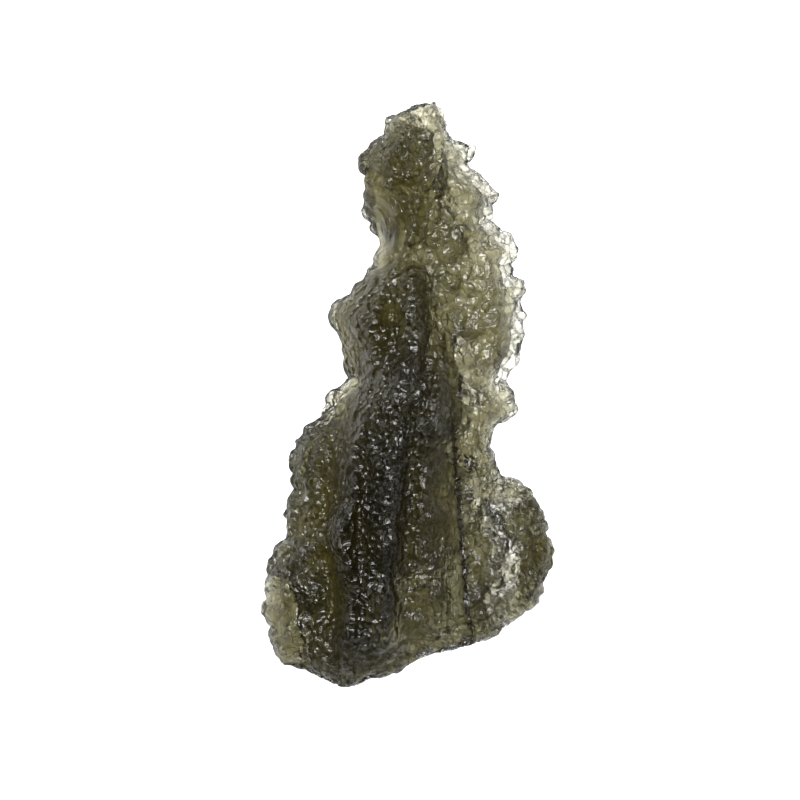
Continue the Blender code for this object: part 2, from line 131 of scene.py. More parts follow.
leftEdge = [
    (20.85, 2.1), (20.6, 1.0), (20.2, -0.3), (19.7, -1.4),          # tip
    (18.6, -1.9), (17.7, -2.8), (17.0, -3.6), (16.2, -3.6), (15.6, -2.9),
    (14.0, -2.95), (13.0, -3.25), (12.1, -2.5), (10.6, -2.0),       # mouth of the bowl
    (9.6, -2.3), (8.5, -2.9), (7.0, -4.1), (6.3, -5.3),
    (5.1, -5.55), (4.6, -5.1), (2.0, -4.6), (0.9, -4.1),            # shoulder
    (0.3, -4.9), (-0.4, -5.6), (-1.1, -5.7), (-2.5, -7.2),
    (-3.6, -8.1), (-5.2, -8.2), (-7.0, -8.1), (-8.4, -8.9),
    (-9.5, -8.55), (-10.5, -8.5), (-10.9, -9.3), (-12.0, -9.9),     # lobe at lower left
    (-13.7, -10.15), (-15.0, -10.0), (-15.8, -10.25), (-16.6, -9.75),
    (-17.6, -9.9), (-18.5, -9.4), (-19.2, -9.1), (-19.6, -7.3),
    (-20.0, -6.5), (-20.7, -4.8), (-20.85, -3.6),
]
# The thick body: (along, its left edge, its right edge, its rise, rise of the left flank, of the right flank,
# width of its fall on the right)
bodyTable = [
    (20.8, -2.0, 3.3, 1.0, 0.8, 0.7, 0.6),
    (18.5, -2.9, 3.0, 2.3, 1.3, 1.1, 0.6),
    (15.0, -3.2, 2.7, 3.0, 1.4, 1.6, 0.7),
    (12.0, -3.0, 2.3, 3.4, 1.5, 1.7, 0.8),
    (8.3, -3.4, 2.5, 2.9, 1.5, 2.1, 0.9),
    (6.9, -5.2, 2.6, 4.4, 1.8, 2.1, 1.0),
    (3.0, -5.0, 2.9, 4.8, 1.9, 1.9, 1.4),
    (0.0, -4.3, 3.5, 5.2, 1.9, 1.6, 1.8),
    (-5.0, -5.8, 4.3, 5.6, 2.4, 1.6, 3.0),
    (-10.0, -6.3, 4.5, 5.5, 2.7, 1.2, 3.0),
    (-14.0, -5.9, 4.8, 4.9, 2.5, 1.2, 2.9),
    (-16.5, -5.9, 4.8, 4.4, 2.2, 2.1, 2.7),
    (-20.8, -6.0, 4.0, 3.4, 2.0, 2.0, 1.5),
]
# Half the thickness close to the rim: (along, at the left rim, at the right rim)
rimTable = [
    (20.8, 0.5, 0.5), (17.8, 1.2, 0.4), (12.0, 0.8, 0.3), (7.0, 1.2, 0.3), (4.0, 1.3, 0.3), (0.5, 0.8, 0.3),
    (-2.0, 0.7, 0.5), (-6.0, 1.4, 0.7), (-9.0, 1.5, 0.5), (-14.0, 1.6, 0.5), (-16.5, 1.9, 1.8),
    (-20.8, 2.0, 2.0),
]
# Bowls and pits of the top: (across, along, radius, depth)
bowls = [
    (-3.0, 11.4, 3.7, 1.2), (6.9, -3.4, 1.7, 0.9), (-7.0, -1.0, 2.6, 0.7), (-8.0, -9.6, 1.8, 0.7),
    (7.2, -9.2, 2.3, 1.9), (7.8, -12.6, 2.6, 2.6), (0.8, 19.7, 1.4, 1.3),
    (3.4, 6.7, 0.9, 0.7), (4.7, 6.6, 0.8, 0.6), (3.5, 5.2, 0.8, 0.6), (3.4, 8.9, 1.0, 0.6),
    (5.2, 9.9, 1.4, 0.5), (3.8, 13.3, 1.1, 0.6), (5.0, 3.3, 1.1, 0.5), (-1.2, 5.3, 0.9, 0.7),
    (-0.2, 14.4, 0.9, 0.8), (4.6, -6.6, 1.0, 0.6), (-6.0, -12.1, 1.1, 0.7), (7.6, -11.6, 1.6, 0.5),
    (6.6, 0.0, 0.9, 0.4), (-8.1, -16.6, 1.9, 1.8),
]
# Bumps of the underside on which the stone rests: (across, along, radius)
rests = [
    (-0.6, 14.6, 2.3), (-1.6, 4.2, 2.9), (-5.0, -9.6, 3.0), (-4.4, -16.2, 2.1),
    (9.0, -9.2, 1.3), (9.5, -11.4, 1.4), (9.0, -13.4, 1.2),
]
# Furrows and, with a negative depth, ridges: (half width, depth, path across and along)
furrows = [
    (0.85, 0.55, [(0.9, -2.0), (0.1, -6.0), (-0.2, -10.0), (-0.2, -14.0), (0.2, -18.2)]),
    (0.42, 0.60, [(3.2, -4.5), (3.7, -8.0), (4.0, -12.0), (4.2, -15.0), (4.6, -17.0)]),
    (0.65, 0.70, [(-6.0, -6.0), (-5.7, -9.0), (-5.2, -13.0), (-5.1, -18.0)]),
    (0.70, 0.65, [(-1.2, 6.0), (-1.6, 2.0), (-2.6, -3.0), (-3.2, -8.0), (-3.4, -16.0)]),
    (0.60, 0.55, [(1.6, 14.0), (1.4, 10.0), (1.8, 5.0), (1.5, 1.0)]),
    (0.65, -0.60, [(0.6, 8.0), (0.5, 3.0), (-0.2, -1.0), (-1.0, -5.0), (-1.4, -10.0), (-1.6, -17.5)]),
    (0.45, -0.45, [(2.1, 20.0), (2.5, 17.5), (2.1, 14.0), (1.8, 11.0)]),
    (0.40, -0.50, [(6.9, -1.5), (5.8, -1.7), (5.2, -2.4), (5.1, -3.6), (5.6, -4.8)]),
    (0.60, -0.80, [(7.7, -6.3), (9.1, -8.0), (9.6, -11.0), (9.3, -13.5), (8.3, -15.2)]),
]
furrowsBelow = [
    (0.9, 0.75, [(2.4, 16.0), (1.5, 8.0), (0.4, 0.0), (-0.6, -8.0), (0.5, -15.0)]),
    (0.7, 0.60, [(-2.4, 4.0), (-3.6, -3.0), (-4.6, -12.0), (-4.0, -18.0)]),
    (0.7, 0.55, [(3.6, 3.0), (4.4, -4.0), (4.6, -12.0)]),
    (1.30, 3.20, [(-1.0, -4.0), (-1.4, -10.0), (-1.6, -17.5)]),
    (1.90, 2.40, [(7.0, -8.0), (7.5, -10.0), (7.7, -12.5), (6.8, -15.0)]),
    (1.30, 1.20, [(1.4, 8.0), (1.6, 1.0)]),
    (1.40, 2.60, [(1.8, -3.0), (1.9, -8.0), (2.2, -16.5)]),
    (1.20, 0.90, [(3.6, 4.5), (4.6, 0.0)]),
    (0.60, -0.50, [(8.2, -6.8), (9.2, -8.0), (9.7, -11.0), (9.3, -13.5), (8.3, -15.2)]),
    (1.00, 0.80, [(3.0, -12.0), (3.0, -15.5)]),
    (1.60, 3.40, [(-8.4, -15.5), (-8.1, -17.6)]),
    (0.90, 1.10, [(0.6, 19.0), (1.4, 20.3)]),
]


def hashed(cell, seed):
    # a repeatable share from 0 to 1 for each whole-number cell: its axes are mixed by odd factors and shifts
    mixed = np.full(cell.shape[:-1], seed * 9973 + 101, np.uint32)
    for axis in range(cell.shape[-1]):
        mixed = (mixed ^ cell[..., axis].astype(np.int64).astype(np.uint32)) * np.uint32(2654435761)
        mixed ^= mixed >> np.uint32(15)
    mixed = (mixed * np.uint32(2246822519)) ^ (mixed >> np.uint32(13))
    return mixed.astype(np.float64) / 4294967295.0


def eased(share):
    # 0 to 1 with soft ends: 3 s squared minus 2 s cubed
    share = np.clip(share, 0.0, 1.0)
    return share * share * (3 - 2 * share)


def cupField(points, size, seed):
    # rounded cups with sharp rims: squared distance to the nearest of one random middle in each cubic cell
    scaled = points / size
    base = np.floor(scaled)
    nearest = np.full(len(points), 9.0)
    steps = (-1, 0, 1)
    for offset in [(i, j, k) for i in steps for j in steps for k in steps]:
        cell = base + np.array(offset)
        middle = np.stack([hashed(cell, seed + axis) for axis in range(3)], axis=-1)
        nearest = np.minimum(nearest, ((cell + middle - scaled) ** 2).sum(axis=-1))
    return np.minimum(nearest / stoneForm["cupFill"], 1.0)


def smoothNoise(points, spacing, seed):
    # smooth noise from -1 to 1: random values at the corners of square cells, eased between them
    whole = np.floor(points / spacing)
    part = eased(points / spacing - whole)
    total = np.zeros(len(points))
    for corner in np.ndindex(*[2] * points.shape[1]):
        near = np.where(corner, part, 1 - part).prod(axis=1)
        total += near * hashed(whole + np.array(corner), seed)
    return 2 * total - 1


def wave(along, spacing, seed):
    # the same noise along one line
    return smoothNoise(along[:, None], spacing, seed)


def acrossAt(along, edge, seed):
    # an edge of the outline: straight between its points, plus small notches that fade out at both ends
    places, across = np.array(sorted(edge)).T
    fade = np.clip((stoneForm["halfLength"] - np.abs(along)) / stoneForm["notchFade"], 0.0, 1.0)
    notches = stoneForm["edgeNotch"] * wave(along, stoneForm["edgeNotchSpacing"], seed)
    notches += stoneForm["fineNotch"] * wave(along, stoneForm["fineNotchSpacing"], seed + 60)
    return np.interp(along, places, across) + fade * notches


def edgesAt(along):
    # left and right edges of the outline
    seed = stoneForm["seedEdge"]
    return acrossAt(along, leftEdge, seed), acrossAt(along, rightEdge, seed + 1)


def distanceToPoints(across, along, places):
    # shortest flat distance to a set of places, a few thousand points at a time
    found = []
    for part in np.array_split(np.stack([across, along], axis=-1), 40):
        gaps = (part[:, None, 0] - places[:, 0]) ** 2 + (part[:, None, 1] - places[:, 1]) ** 2
        found.append(np.sqrt(gaps.min(axis=1)))
    return np.concatenate(found)


def distanceToPath(across, along, path):
    # shortest flat distance to a path of straight stretches
    points = np.stack([across, along], axis=-1)
    nearest = np.full(len(points), np.inf)
    for start, end in zip(np.array(path)[:-1], np.array(path)[1:]):
        run = end - start
        share = np.clip((points - start) @ run / (run @ run), 0.0, 1.0)
        gap = points - start - share[:, None] * run
        nearest = np.minimum(nearest, np.hypot(gap[:, 0], gap[:, 1]))
    return nearest


def rimDistances(across, along):
    # distances to the whole outline, to its sides without the foot, and to the foot
    half = stoneForm["halfLength"]
    places = np.arange(-half, half, stoneForm["outlineStep"])
    left, right = edgesAt(places)
    outline = np.concatenate([np.stack([left, places], -1), np.stack([right, places], -1)])
    starts = np.repeat([stoneForm["footStartsLeft"], stoneForm["footStartsRight"]], len(places))
    onFoot = outline[:, 1] < starts
    toFoot = distanceToPoints(across, along, outline[onFoot])
    toSide = distanceToPoints(across, along, outline[~onFoot])
    left, right = edgesAt(along)
    toRim = np.minimum(np.minimum(toFoot, toSide), np.minimum(across - left, right - across))
    return np.maximum(toRim, 0.0), toSide, toFoot


def rounded(distance, height, toFoot):
    # an edge that eases in, 1 minus the square of the share left of the way; its root, blunter, at the foot
    blunt = 1 - eased(toFoot / stoneForm["footBevel"])
    rounding = stoneForm["rounding"] + (stoneForm["footRounding"] - stoneForm["rounding"]) * blunt
    inwards = np.clip(distance / (stoneForm["leastRounding"] + rounding * height), 0.0, 1.0)
    return (1 - (1 - inwards) ** 2) ** (1 - blunt / 2)


def bodyEdges(along):
    # edges of the thick body: straight between the table's rows, wandering a little
    table = np.array(sorted(bodyTable)).T
    wander, spacing, seed = stoneForm["bodyEdgeWander"], stoneForm["bodyEdgeSpacing"], stoneForm["seedEdge"]
    left = np.interp(along, table[0], table[1]) + wander * wave(along, spacing, seed + 3)
    right = np.interp(along, table[0], table[2]) + wander * wave(along, spacing, seed + 4)
    return left, right


def bodyForm(across, along):
    # share of the thick body from 0 to 1, the body's rise, and the flank's rise
    table = np.array(sorted(bodyTable)).T
    left, right = bodyEdges(along)
    leftRise, rightRise, fall = (np.interp(along, table[0], row) for row in table[4:])
    rightOfCrest = across - stoneForm["crestAcross"]
    rise = np.interp(along - stoneForm["ledgeSlant"] * rightOfCrest, table[0], table[3])
    rise -= stoneForm["rightLean"] * np.maximum(rightOfCrest, 0.0)
    share = eased((across - left) / stoneForm["leftFall"]) * eased((right - across) / fall)
    flank = np.where(across < (left + right) / 2, leftRise, rightRise)
    return share, rise, flank


def furrowed(across, along, paths, seed):
    # what furrows take off: a bell curve over the distance from each path, uneven along the way
    taken = np.zeros(len(across))
    breaks, spacing = stoneForm["furrowBreaks"], stoneForm["furrowBreakSpacing"]
    for number, (halfWidth, depth, path) in enumerate(paths):
        uneven = 1 + breaks * wave(along, spacing, seed + 20 + number)
        taken += depth * uneven * np.exp(-((distanceToPath(across, along, path) / halfWidth) ** 2))
    return taken


def lumpsAndCups(across, along, share, seed):
    # what broad lumps and broad cups take off
    plan = np.stack([across, along * stoneForm["cupStretch"]], axis=-1)
    onFlank = stoneForm["lumpOnFlank"]
    lump = stoneForm["lump"] * (onFlank + (1 - onFlank) * share)
    taken = lump * smoothNoise(plan, stoneForm["lumpSpacing"], seed)
    points = np.column_stack([plan, np.full(len(across), float(seed))])
    for size, onBody, onThin in stoneForm["cups"]:
        taken += (onThin + (onBody - onThin) * share) * (stoneForm["cupLevel"] - cupField(points, size, seed))
    return taken


def dome(across, along, middleAcross, middleAlong, radius, stretch=1.0):
    # 1 at a middle, falling as 1 minus the square of the distance to 0 at the radius
    gap = np.hypot(across - middleAcross, (along - middleAlong) / stretch) / radius
    return np.clip(1 - gap**2, 0.0, None)


def bowlRibs(across, along):
    # a cosine over the distance from the bowl's middle, fading outwards
    gap = np.hypot(across - stoneForm["ribMiddle"][0], along - stoneForm["ribMiddle"][1])
    fade = eased((stoneForm["ribReach"] - gap) / stoneForm["ribSpacing"])
    return stoneForm["ribHeight"] * fade * np.cos(2 * np.pi * gap / stoneForm["ribSpacing"])


def thinness(across, along):
    # half the thickness near the rim: eased from the left rim's value to the right rim's
    table = np.array(sorted(rimTable)).T
    leftThin, rightThin = np.interp(along, table[0], table[1]), np.interp(along, table[0], table[2])
    left, right = edgesAt(along)
    way = eased((across - left) / np.maximum(right - left, stoneForm["outlineStep"]))
    return leftThin + (rightThin - leftThin) * way


def finShare(across, along):
    # 1 in the fin and 0 elsewhere: an eased step across times one along
    startsAcross, startsAlong = stoneForm["finFrom"]
    fadeAcross, fadeAlong = stoneForm["finFade"]
    return eased((across - startsAcross) / fadeAcross) * eased((along - startsAlong) / fadeAlong)


def riseAboveRim(across, along, toRim, toSide, toFoot):
    # top over the rim: a wedge-shaped flank, the body on it, then bowls, furrows, lumps and cups cut in
    share, body, flank = bodyForm(across, along)
    thin, fin = thinness(across, along), finShare(across, along)
    wedge = stoneForm["wedgeTop"] + (stoneForm["finWedge"] - stoneForm["wedgeTop"]) * fin
    flank = thin + (flank - thin) * eased((toSide - stoneForm["finRim"] * fin) / wedge)
    height = flank + (body - flank) * share
    for middleAcross, middleAlong, radius, depth in bowls:
        height -= depth * dome(across, along, middleAcross, middleAlong, radius)
    height = np.maximum(height + share * bowlRibs(across, along), thin)
    bevelLeft = stoneForm["footBevelLeft"]
    height *= bevelLeft + (1 - bevelLeft) * eased(toFoot / stoneForm["footBevel"])
    seed = stoneForm["seedTop"]
    taken = furrowed(across, along, furrows, seed) + lumpsAndCups(across, along, share, seed)
    return np.maximum(height - taken, stoneForm["leastShare"] * thin) * rounded(toRim, height, toFoot)


def reachBelowRim(across, along, toRim, toSide, toFoot):
    # underside under the rim: a dome with furrows, lumps and cups, drawn down to the table at the rests
    share, _, _ = bodyForm(across, along)
    thin = thinness(across, along)
    full = stoneForm["bodyBase"] - stoneForm["baseLean"] * np.maximum(across - stoneForm["crestAcross"], 0.0)
    full *= 1 - (1 - stoneForm["finBase"]) * finShare(across, along)
    reach = thin + (full - thin) * eased(toSide / stoneForm["wedgeBase"])
    seed = stoneForm["seedBelow"]
    plan = np.stack([across, along], axis=-1)
    wander = stoneForm["restWander"] * smoothNoise(plan, stoneForm["restWanderSpacing"], seed + 5)
    bumps = [eased(dome(across + wander, along, *bump, stoneForm["restStretch"])) for bump in rests]
    rest = np.max(bumps, axis=0)
    reach -= furrowed(across, along, furrowsBelow, seed)
    reach -= stoneForm["undersideLump"] * lumpsAndCups(across, along, share, seed)
    toTable = rimHeight(along) + stoneForm["restPress"]
    starts, ends = stoneForm["vaultFrom"]
    least = stoneForm["leastShare"] * thin - stoneForm["vault"] * eased((toSide - starts) / (ends - starts))
    cut = np.maximum(reach + (toTable - reach) * rest, least)
    return cut * rounded(toRim, np.maximum(reach, 0.0), toFoot)


def rimHeight(along):
    # a straight fall from foot to tip, with a gentle wave on it
    sinking = (stoneForm["halfLength"] - along) / (2 * stoneForm["halfLength"])
    fall = stoneForm["rimAtTip"] + (stoneForm["rimAtFoot"] - stoneForm["rimAtTip"]) * sinking
    return fall + stoneForm["rimWave"] * wave(along, stoneForm["rimWaveSpacing"], stoneForm["seedEdge"] + 2)


def acrossRing(share, along):
    # a share of a ring's points, counted from the left rim, to its place across: three straight stretches
    left, right = edgesAt(along)
    bodyLeft, bodyRight = bodyEdges(along)
    flank = stoneForm["leastFlank"] * (right - left)
    bodyLeft = np.clip(bodyLeft, left + flank, right - 3 * flank)
    bodyRight = np.clip(bodyRight, bodyLeft + flank, right - flank)
    starts, ends = stoneForm["bodyStarts"], stoneForm["bodyEnds"]
    onLeft = left + (bodyLeft - left) * share / starts
    onBody = bodyLeft + (bodyRight - bodyLeft) * (share - starts) / (ends - starts)
    onRight = bodyRight + (right - bodyRight) * (share - ends) / (1 - ends)
    return np.where(share < starts, onLeft, np.where(share < ends, onBody, onRight))


# The fine etching, which only this script has. Depths and sizes are real millimetres. Coarse cups and pits
# are in the mesh; fine pits, flow lines and cracks are a bump, whose depths go with the mesh as attributes.
etching = {
    "coarseSize": 0.95,
    "pitSize": 0.50,               # etched cups of moldavite are mostly 0.2 to 0.5 mm wide
    "pitStretch": 0.65,            # their width as a share of their length along the flow
    "grainSize": 0.22,
    "grain": 0.018,
    "bowlRing": 0.10,              # fine rings of the ribbed bowl
    "bowlRingSpacing": 0.30,
    "grooveSoilAndShade": 1.0,             # share of painted shade and soil in the long groove, a dark tint for its steep walls and soil
    "grooveSoilAndShadeWidth": 0.30,
    "grooveSoilAndShadeWander": 0.5,       # how far its width wanders, as a share
    "grooveSoilAndShadeSpacing": 0.9,
    "grooveAlong": (-17.0, -1.5, 3.0),   # from, to, softness
    "footSlant": (0.35, 0.94),     # slope of the flow lines at the foot, across and along
    "bowlFill": 2.0,               # how quickly the bowl's zone fills it from its edge
    "footReach": 2.0,              # how far from foot and rim their zones reach
    "rimReach": 2.0,
    "lobesReach": 1.5,
    "reachSoft": 0.6,
    "seedCoarse": 47,
    "seedPit": 41,
    "seedRing": 71,
    "seedGrain": 59,
    "seedGroove": 67,
}
combPath = [(8.0, 0.6), (3.0, 0.5), (-1.0, -0.2), (-5.0, -1.0), (-10.0, -1.4), (-20.0, -1.7)]
groovePath = [(2.0, 3.0), (-2.5, 3.2), (-8.0, 3.7), (-12.0, 4.0), (-15.0, 4.2), (-20.0, 4.9)]
# Depths for each zone: coarse cups, pits, fine pits, flow lines, cracks
zoneDepths = {
    "top": (0.40, 0.16, 0.24, 0.04, 0.08),
    "below": (0.40, 0.10, 0.14, 0.01, 0.04),
    "dark": (0.16, 0.04, 0.40, 0.00, 0.00),
    "furrow": (0.14, 0.04, 0.36, 0.06, 0.02),
    "comb": (0.12, 0.08, 0.24, 0.08, 0.04),
    "olive": (0.08, 0.06, 0.20, 0.16, 0.05),
    "pale": (0.30, 0.14, 0.18, 0.06, 0.07),
    "lobe": (0.50, 0.16, 0.18, 0.04, 0.06),
    "rim": (0.50, 0.20, 0.36, 0.00, 0.10),
    "fin": (0.42, 0.12, 0.10, 0.03, 0.06),
    "lobes": (0.30, 0.10, 0.06, 0.02, 0.08),
    "bowl": (0.00, 0.02, 0.06, 0.20, 0.02),
    "foot": (0.34, 0.16, 0.30, 0.18, 0.08),
}
# Where the zones lie: the line that each starts from and how far beside it, the same for where it ends, and
# its softness across; then from, to and softness along. The middle is that of the outline.
zonePlaces = {
    "lobe": ("middle", -20.0, "bodyLeft", -0.8, 0.8, (-20.0, -9.0, 1.5)),
    "dark": ("bodyLeft", -0.8, "comb", -0.5, 0.8, (-18.5, 8.0, 2.0)),
    "furrow": ("comb", 0.5, "comb", 2.3, 0.5, (-18.5, -3.0, 2.0)),
    "olive": ("comb", 2.2, "groove", 0.0, 0.5, (-17.5, 9.0, 2.0)),
    "comb": ("comb", -0.5, "comb", 0.5, 0.4, (-19.0, 9.0, 2.0)),
    "pale": ("groove", 0.3, "middle", 20.0, 0.6, (-16.5, -5.5, 1.5)),
    "fin": ("bodyRight", 0.0, "middle", 20.0, 0.6, (-3.0, 25.0, 1.5)),
}
zonesOnTop = ("dark", "furrow")


def pathAcross(path, along):
    # where a flow line lies across the stone
    places, across = np.array(sorted(path)).T
    return np.interp(along, places, across)


def between(value, low, high, soft):
    # 1 from low to high, with soft ends
    return eased((value - low) / soft + 0.5) * eased((high - value) / soft + 0.5)


def etchZones(across, along, toSide, toFoot, onTop):
    # the depths over the stone, and the shares of bowl and foot: zones are eased in one by one
    bodyLeft, bodyRight = bodyEdges(along)
    lines = {"middle": 0.0, "bodyLeft": bodyLeft, "bodyRight": bodyRight,
             "comb": pathAcross(combPath, along), "groove": pathAcross(groovePath, along)}
    shares = {}
    for name, (start, fromStart, end, fromEnd, soft, reach) in zonePlaces.items():
        inside = between(across, lines[start] + fromStart, lines[end] + fromEnd, soft)
        shares[name] = inside * between(along, *reach)
    for name in zonesOnTop:
        shares[name] = shares[name] * onTop
    soft = etching["reachSoft"]
    shares["rim"] = shares["pale"] * eased((etching["rimReach"] - toSide) / soft)
    shares["lobes"] = shares["fin"] * eased((etching["lobesReach"] - toSide) / soft)
    shares["bowl"] = eased(etching["bowlFill"] * dome(across, along, *bowls[0][:3])) * onTop
    shares["foot"] = eased((etching["footReach"] - toFoot) / soft) * onTop
    depths = np.where(onTop[:, None], zoneDepths["top"], zoneDepths["below"])
    for name, share in shares.items():
        depths = depths + (np.array(zoneDepths[name]) - depths) * share[:, None]
    return depths, shares["bowl"], shares["foot"]


def etched(points, depths, bowl):
    # how far the surface stands out along its normal: cups and pits, rings in the bowl and a fine grain
    pulled = points * np.array([1.0, etching["pitStretch"], 1.0])
    gap = np.hypot(points[:, 0] - stoneForm["ribMiddle"][0], points[:, 1] - stoneForm["ribMiddle"][1])
    out = depths[:, 0] * (cupField(pulled, etching["coarseSize"], etching["seedCoarse"]) - 0.5)
    out += depths[:, 1] * (cupField(pulled, etching["pitSize"], etching["seedPit"]) - 0.5)
    out += etching["bowlRing"] * bowl * wave(gap, etching["bowlRingSpacing"], etching["seedRing"])
    out += etching["grain"] * smoothNoise(points, etching["grainSize"], etching["seedGrain"])
    return out


def flowCoordinates(points, bowl, foot):
    # where a point lies across and along the flow lines, which follow the comb, go round the bowl and slant
    # at the foot; third comes the painted shade and soil of the long groove, a dark tint for its steep walls
    # and soil, a bell curve over the distance from its path
    across, along = points[:, 0], points[:, 1]
    fromMiddle = np.stack([across - stoneForm["ribMiddle"][0], along - stoneForm["ribMiddle"][1]], axis=-1)
    straight = np.stack([across - pathAcross(combPath, along), along], axis=-1)
    ringed = np.stack([np.hypot(fromMiddle[:, 0], fromMiddle[:, 1]), np.zeros(len(along))], axis=-1)
    slant = etching["footSlant"]
    slanted = np.stack([slant[0] * across + slant[1] * along, across], axis=-1)
    inBowl, inFoot = (bowl > 0.5)[:, None], (foot > 0.5)[:, None]
    flow = np.where(inBowl, ringed, np.where(inFoot, slanted, straight))
    wander = smoothNoise(points, etching["grooveSoilAndShadeSpacing"], etching["seedGroove"])
    width = etching["grooveSoilAndShadeWidth"] * (1 + etching["grooveSoilAndShadeWander"] * wander)
    fromGroove = (across - pathAcross(groovePath, along)) / width
    # painted shade and soil along the long groove: a dark tint for its steep walls and the soil in it
    soilAndShade = np.exp(-(fromGroove**2)) * between(along, *etching["grooveAlong"])
    return np.column_stack([flow, etching["grooveSoilAndShade"] * soilAndShade])


def normalsOfGrid(grid):
    # cross product of the steps along the rings and round them, of length 1
    alongStep = np.gradient(grid, axis=0)
    roundStep = np.roll(grid, -1, axis=1) - np.roll(grid, 1, axis=1)
    normal = np.cross(roundStep, alongStep)
    return normal / np.maximum(np.linalg.norm(normal, axis=-1, keepdims=True), 1e-9)


def stoneSkin():
    # points in rings from foot to tip, each from the right rim over the top to the left rim and back below,
    # with their depths of fine etching and their flow coordinates
    rings, ringPoints = stoneForm["rings"], stoneForm["ringPoints"]
    even = np.linspace(-1.0, 1.0, rings + 2)
    crowding = stoneForm["ringCrowding"]
    rows = stoneForm["halfLength"] * ((1 - crowding) * even + crowding * np.sin(even * np.pi / 2))
    turn = np.arange(ringPoints) / ringPoints
    topShare = stoneForm["topPoints"] / ringPoints
    fromRight = np.where(turn < topShare, turn / topShare, (1 - turn) / (1 - topShare))
    crowding = stoneForm["rimCrowding"]
    share = 1 - (1 - crowding) * fromRight - crowding * (1 - np.cos(np.pi * fromRight)) / 2
    along = np.repeat(rows, ringPoints)
    onTop = np.tile(turn < topShare, rings + 2)
    across = acrossRing(np.tile(share, rings + 2), along)
    toRim, toSide, toFoot = rimDistances(across, along)
    rise = riseAboveRim(across, along, toRim, toSide, toFoot)
    height = np.where(onTop, rise, -reachBelowRim(across, along, toRim, toSide, toFoot))
    points = np.stack([across, along, rimHeight(along) + height], axis=-1)
    normals = normalsOfGrid(points.reshape(rings + 2, ringPoints, 3)).reshape(-1, 3)
    depths, bowl, foot = etchZones(across, along, toSide, toFoot, onTop)
    flow = flowCoordinates(points, bowl, foot)
    points += normals * etched(points, depths, bowl)[:, None]
    points[:, 2] = np.maximum(points[:, 2], 0.0)
    return [field.reshape(rings + 2, ringPoints, 3) for field in (points, depths[:, 2:], flow)]


def ringsAndEnds(grid):
    # the rings in between as they are, and the first and last ring drawn together into one point each
    return np.concatenate([grid[1:-1].reshape(-1, 3), [grid[0].mean(axis=0), grid[-1].mean(axis=0)]])


def closedMesh(name, grid):
    # rings of points round a closed skin: quads between neighbours, triangles to an end point at either end
    rings, around = grid.shape[0] - 2, grid.shape[1]
    places = ringsAndEnds(grid)
    first = np.arange(rings - 1)[:, None] * around + np.arange(around)
    second = np.arange(rings - 1)[:, None] * around + (np.arange(around) + 1) % around
    quads = np.stack([first, first + around, second + around, second], axis=-1).reshape(-1, 4)
    ring = np.arange(around)
    after = (ring + 1) % around
    last = (rings - 1) * around
    foot = np.stack([ring, after, np.full(around, len(places) - 2)], axis=-1)
    tip = np.stack([last + after, last + ring, np.full(around, len(places) - 1)], axis=-1)
    mesh = bpy.data.meshes.new(name)
    mesh.from_pydata(places.tolist(), [], quads.tolist() + foot.tolist() + tip.tolist())
    mesh.shade_smooth()
    return mesh


def linear(hexColour):
    # an sRGB hex colour as linear light
    shares = np.array([int(hexColour[i : i + 2], 16) for i in (1, 3, 5)]) / 255
    return np.where(shares <= 0.04045, shares / 12.92, ((shares + 0.055) / 1.055) ** 2.4)


def addNode(tree, kind, settings={}, inputs={}):
    # a node with its settings; an input is a value or the socket that feeds it
    node = tree.nodes.new(kind)
    for name, value in settings.items():
        setattr(node, name, value)
    for name, value in inputs.items():
        if isinstance(value, bpy.types.NodeSocket):
            tree.links.new(value, node.inputs[name])
        else:
            node.inputs[name].default_value = value
    return node


# Etched natural glass: clear olive, nearly black where thick, with a satin skin that glints in its pits and
# narrow grooves between them, darkened with painted shade and soil
glass = {
    "ior": 1.49,                   # typical of moldavite, 1.48 to 1.50
    "tint": "#FFFFFF",             # none, outside the grooves
    "soilAndShade": "#2A2419",             # painted shade and soil: a dark colour in narrow grooves for the light their steep walls turn away, and soil
    "soilAndShadeShare": 8.0,              # share of that painted shade and soil for each millimetre of a narrow groove's depth
    "absorbedRed": 0.54,           # natural exponents of the light's fall on each millimetre of glass
    "absorbedGreen": 0.565,
    "absorbedBlue": 0.80,
    "roughLow": 0.275,             # a satin skin, as etching leaves it
    "roughHigh": 0.295,
    "roughSize": 1.2,              # mm, of the patches in which roughness and width of grooves wander
    "patchRange": (0.35, 0.65),    # values of the patches' noise that stand for lowest and highest
    "finePit": 0.57,               # mm
    "finestPit": 0.26,             # mm
    "finestShare": 0.12,           # of the fine pits' depth
    "crackSize": 0.80,             # mm, of the cells between narrow grooves
    "crackWidth": (0.04, 0.30),    # of a cell, from narrowest to widest
    "crackWarp": 0.9,              # mm, how far the cells are pulled out of shape
    "striaSpacing": 0.20,          # mm, coarser than the finest flow lines, which would not show
    "striaLength": 4.0,
}


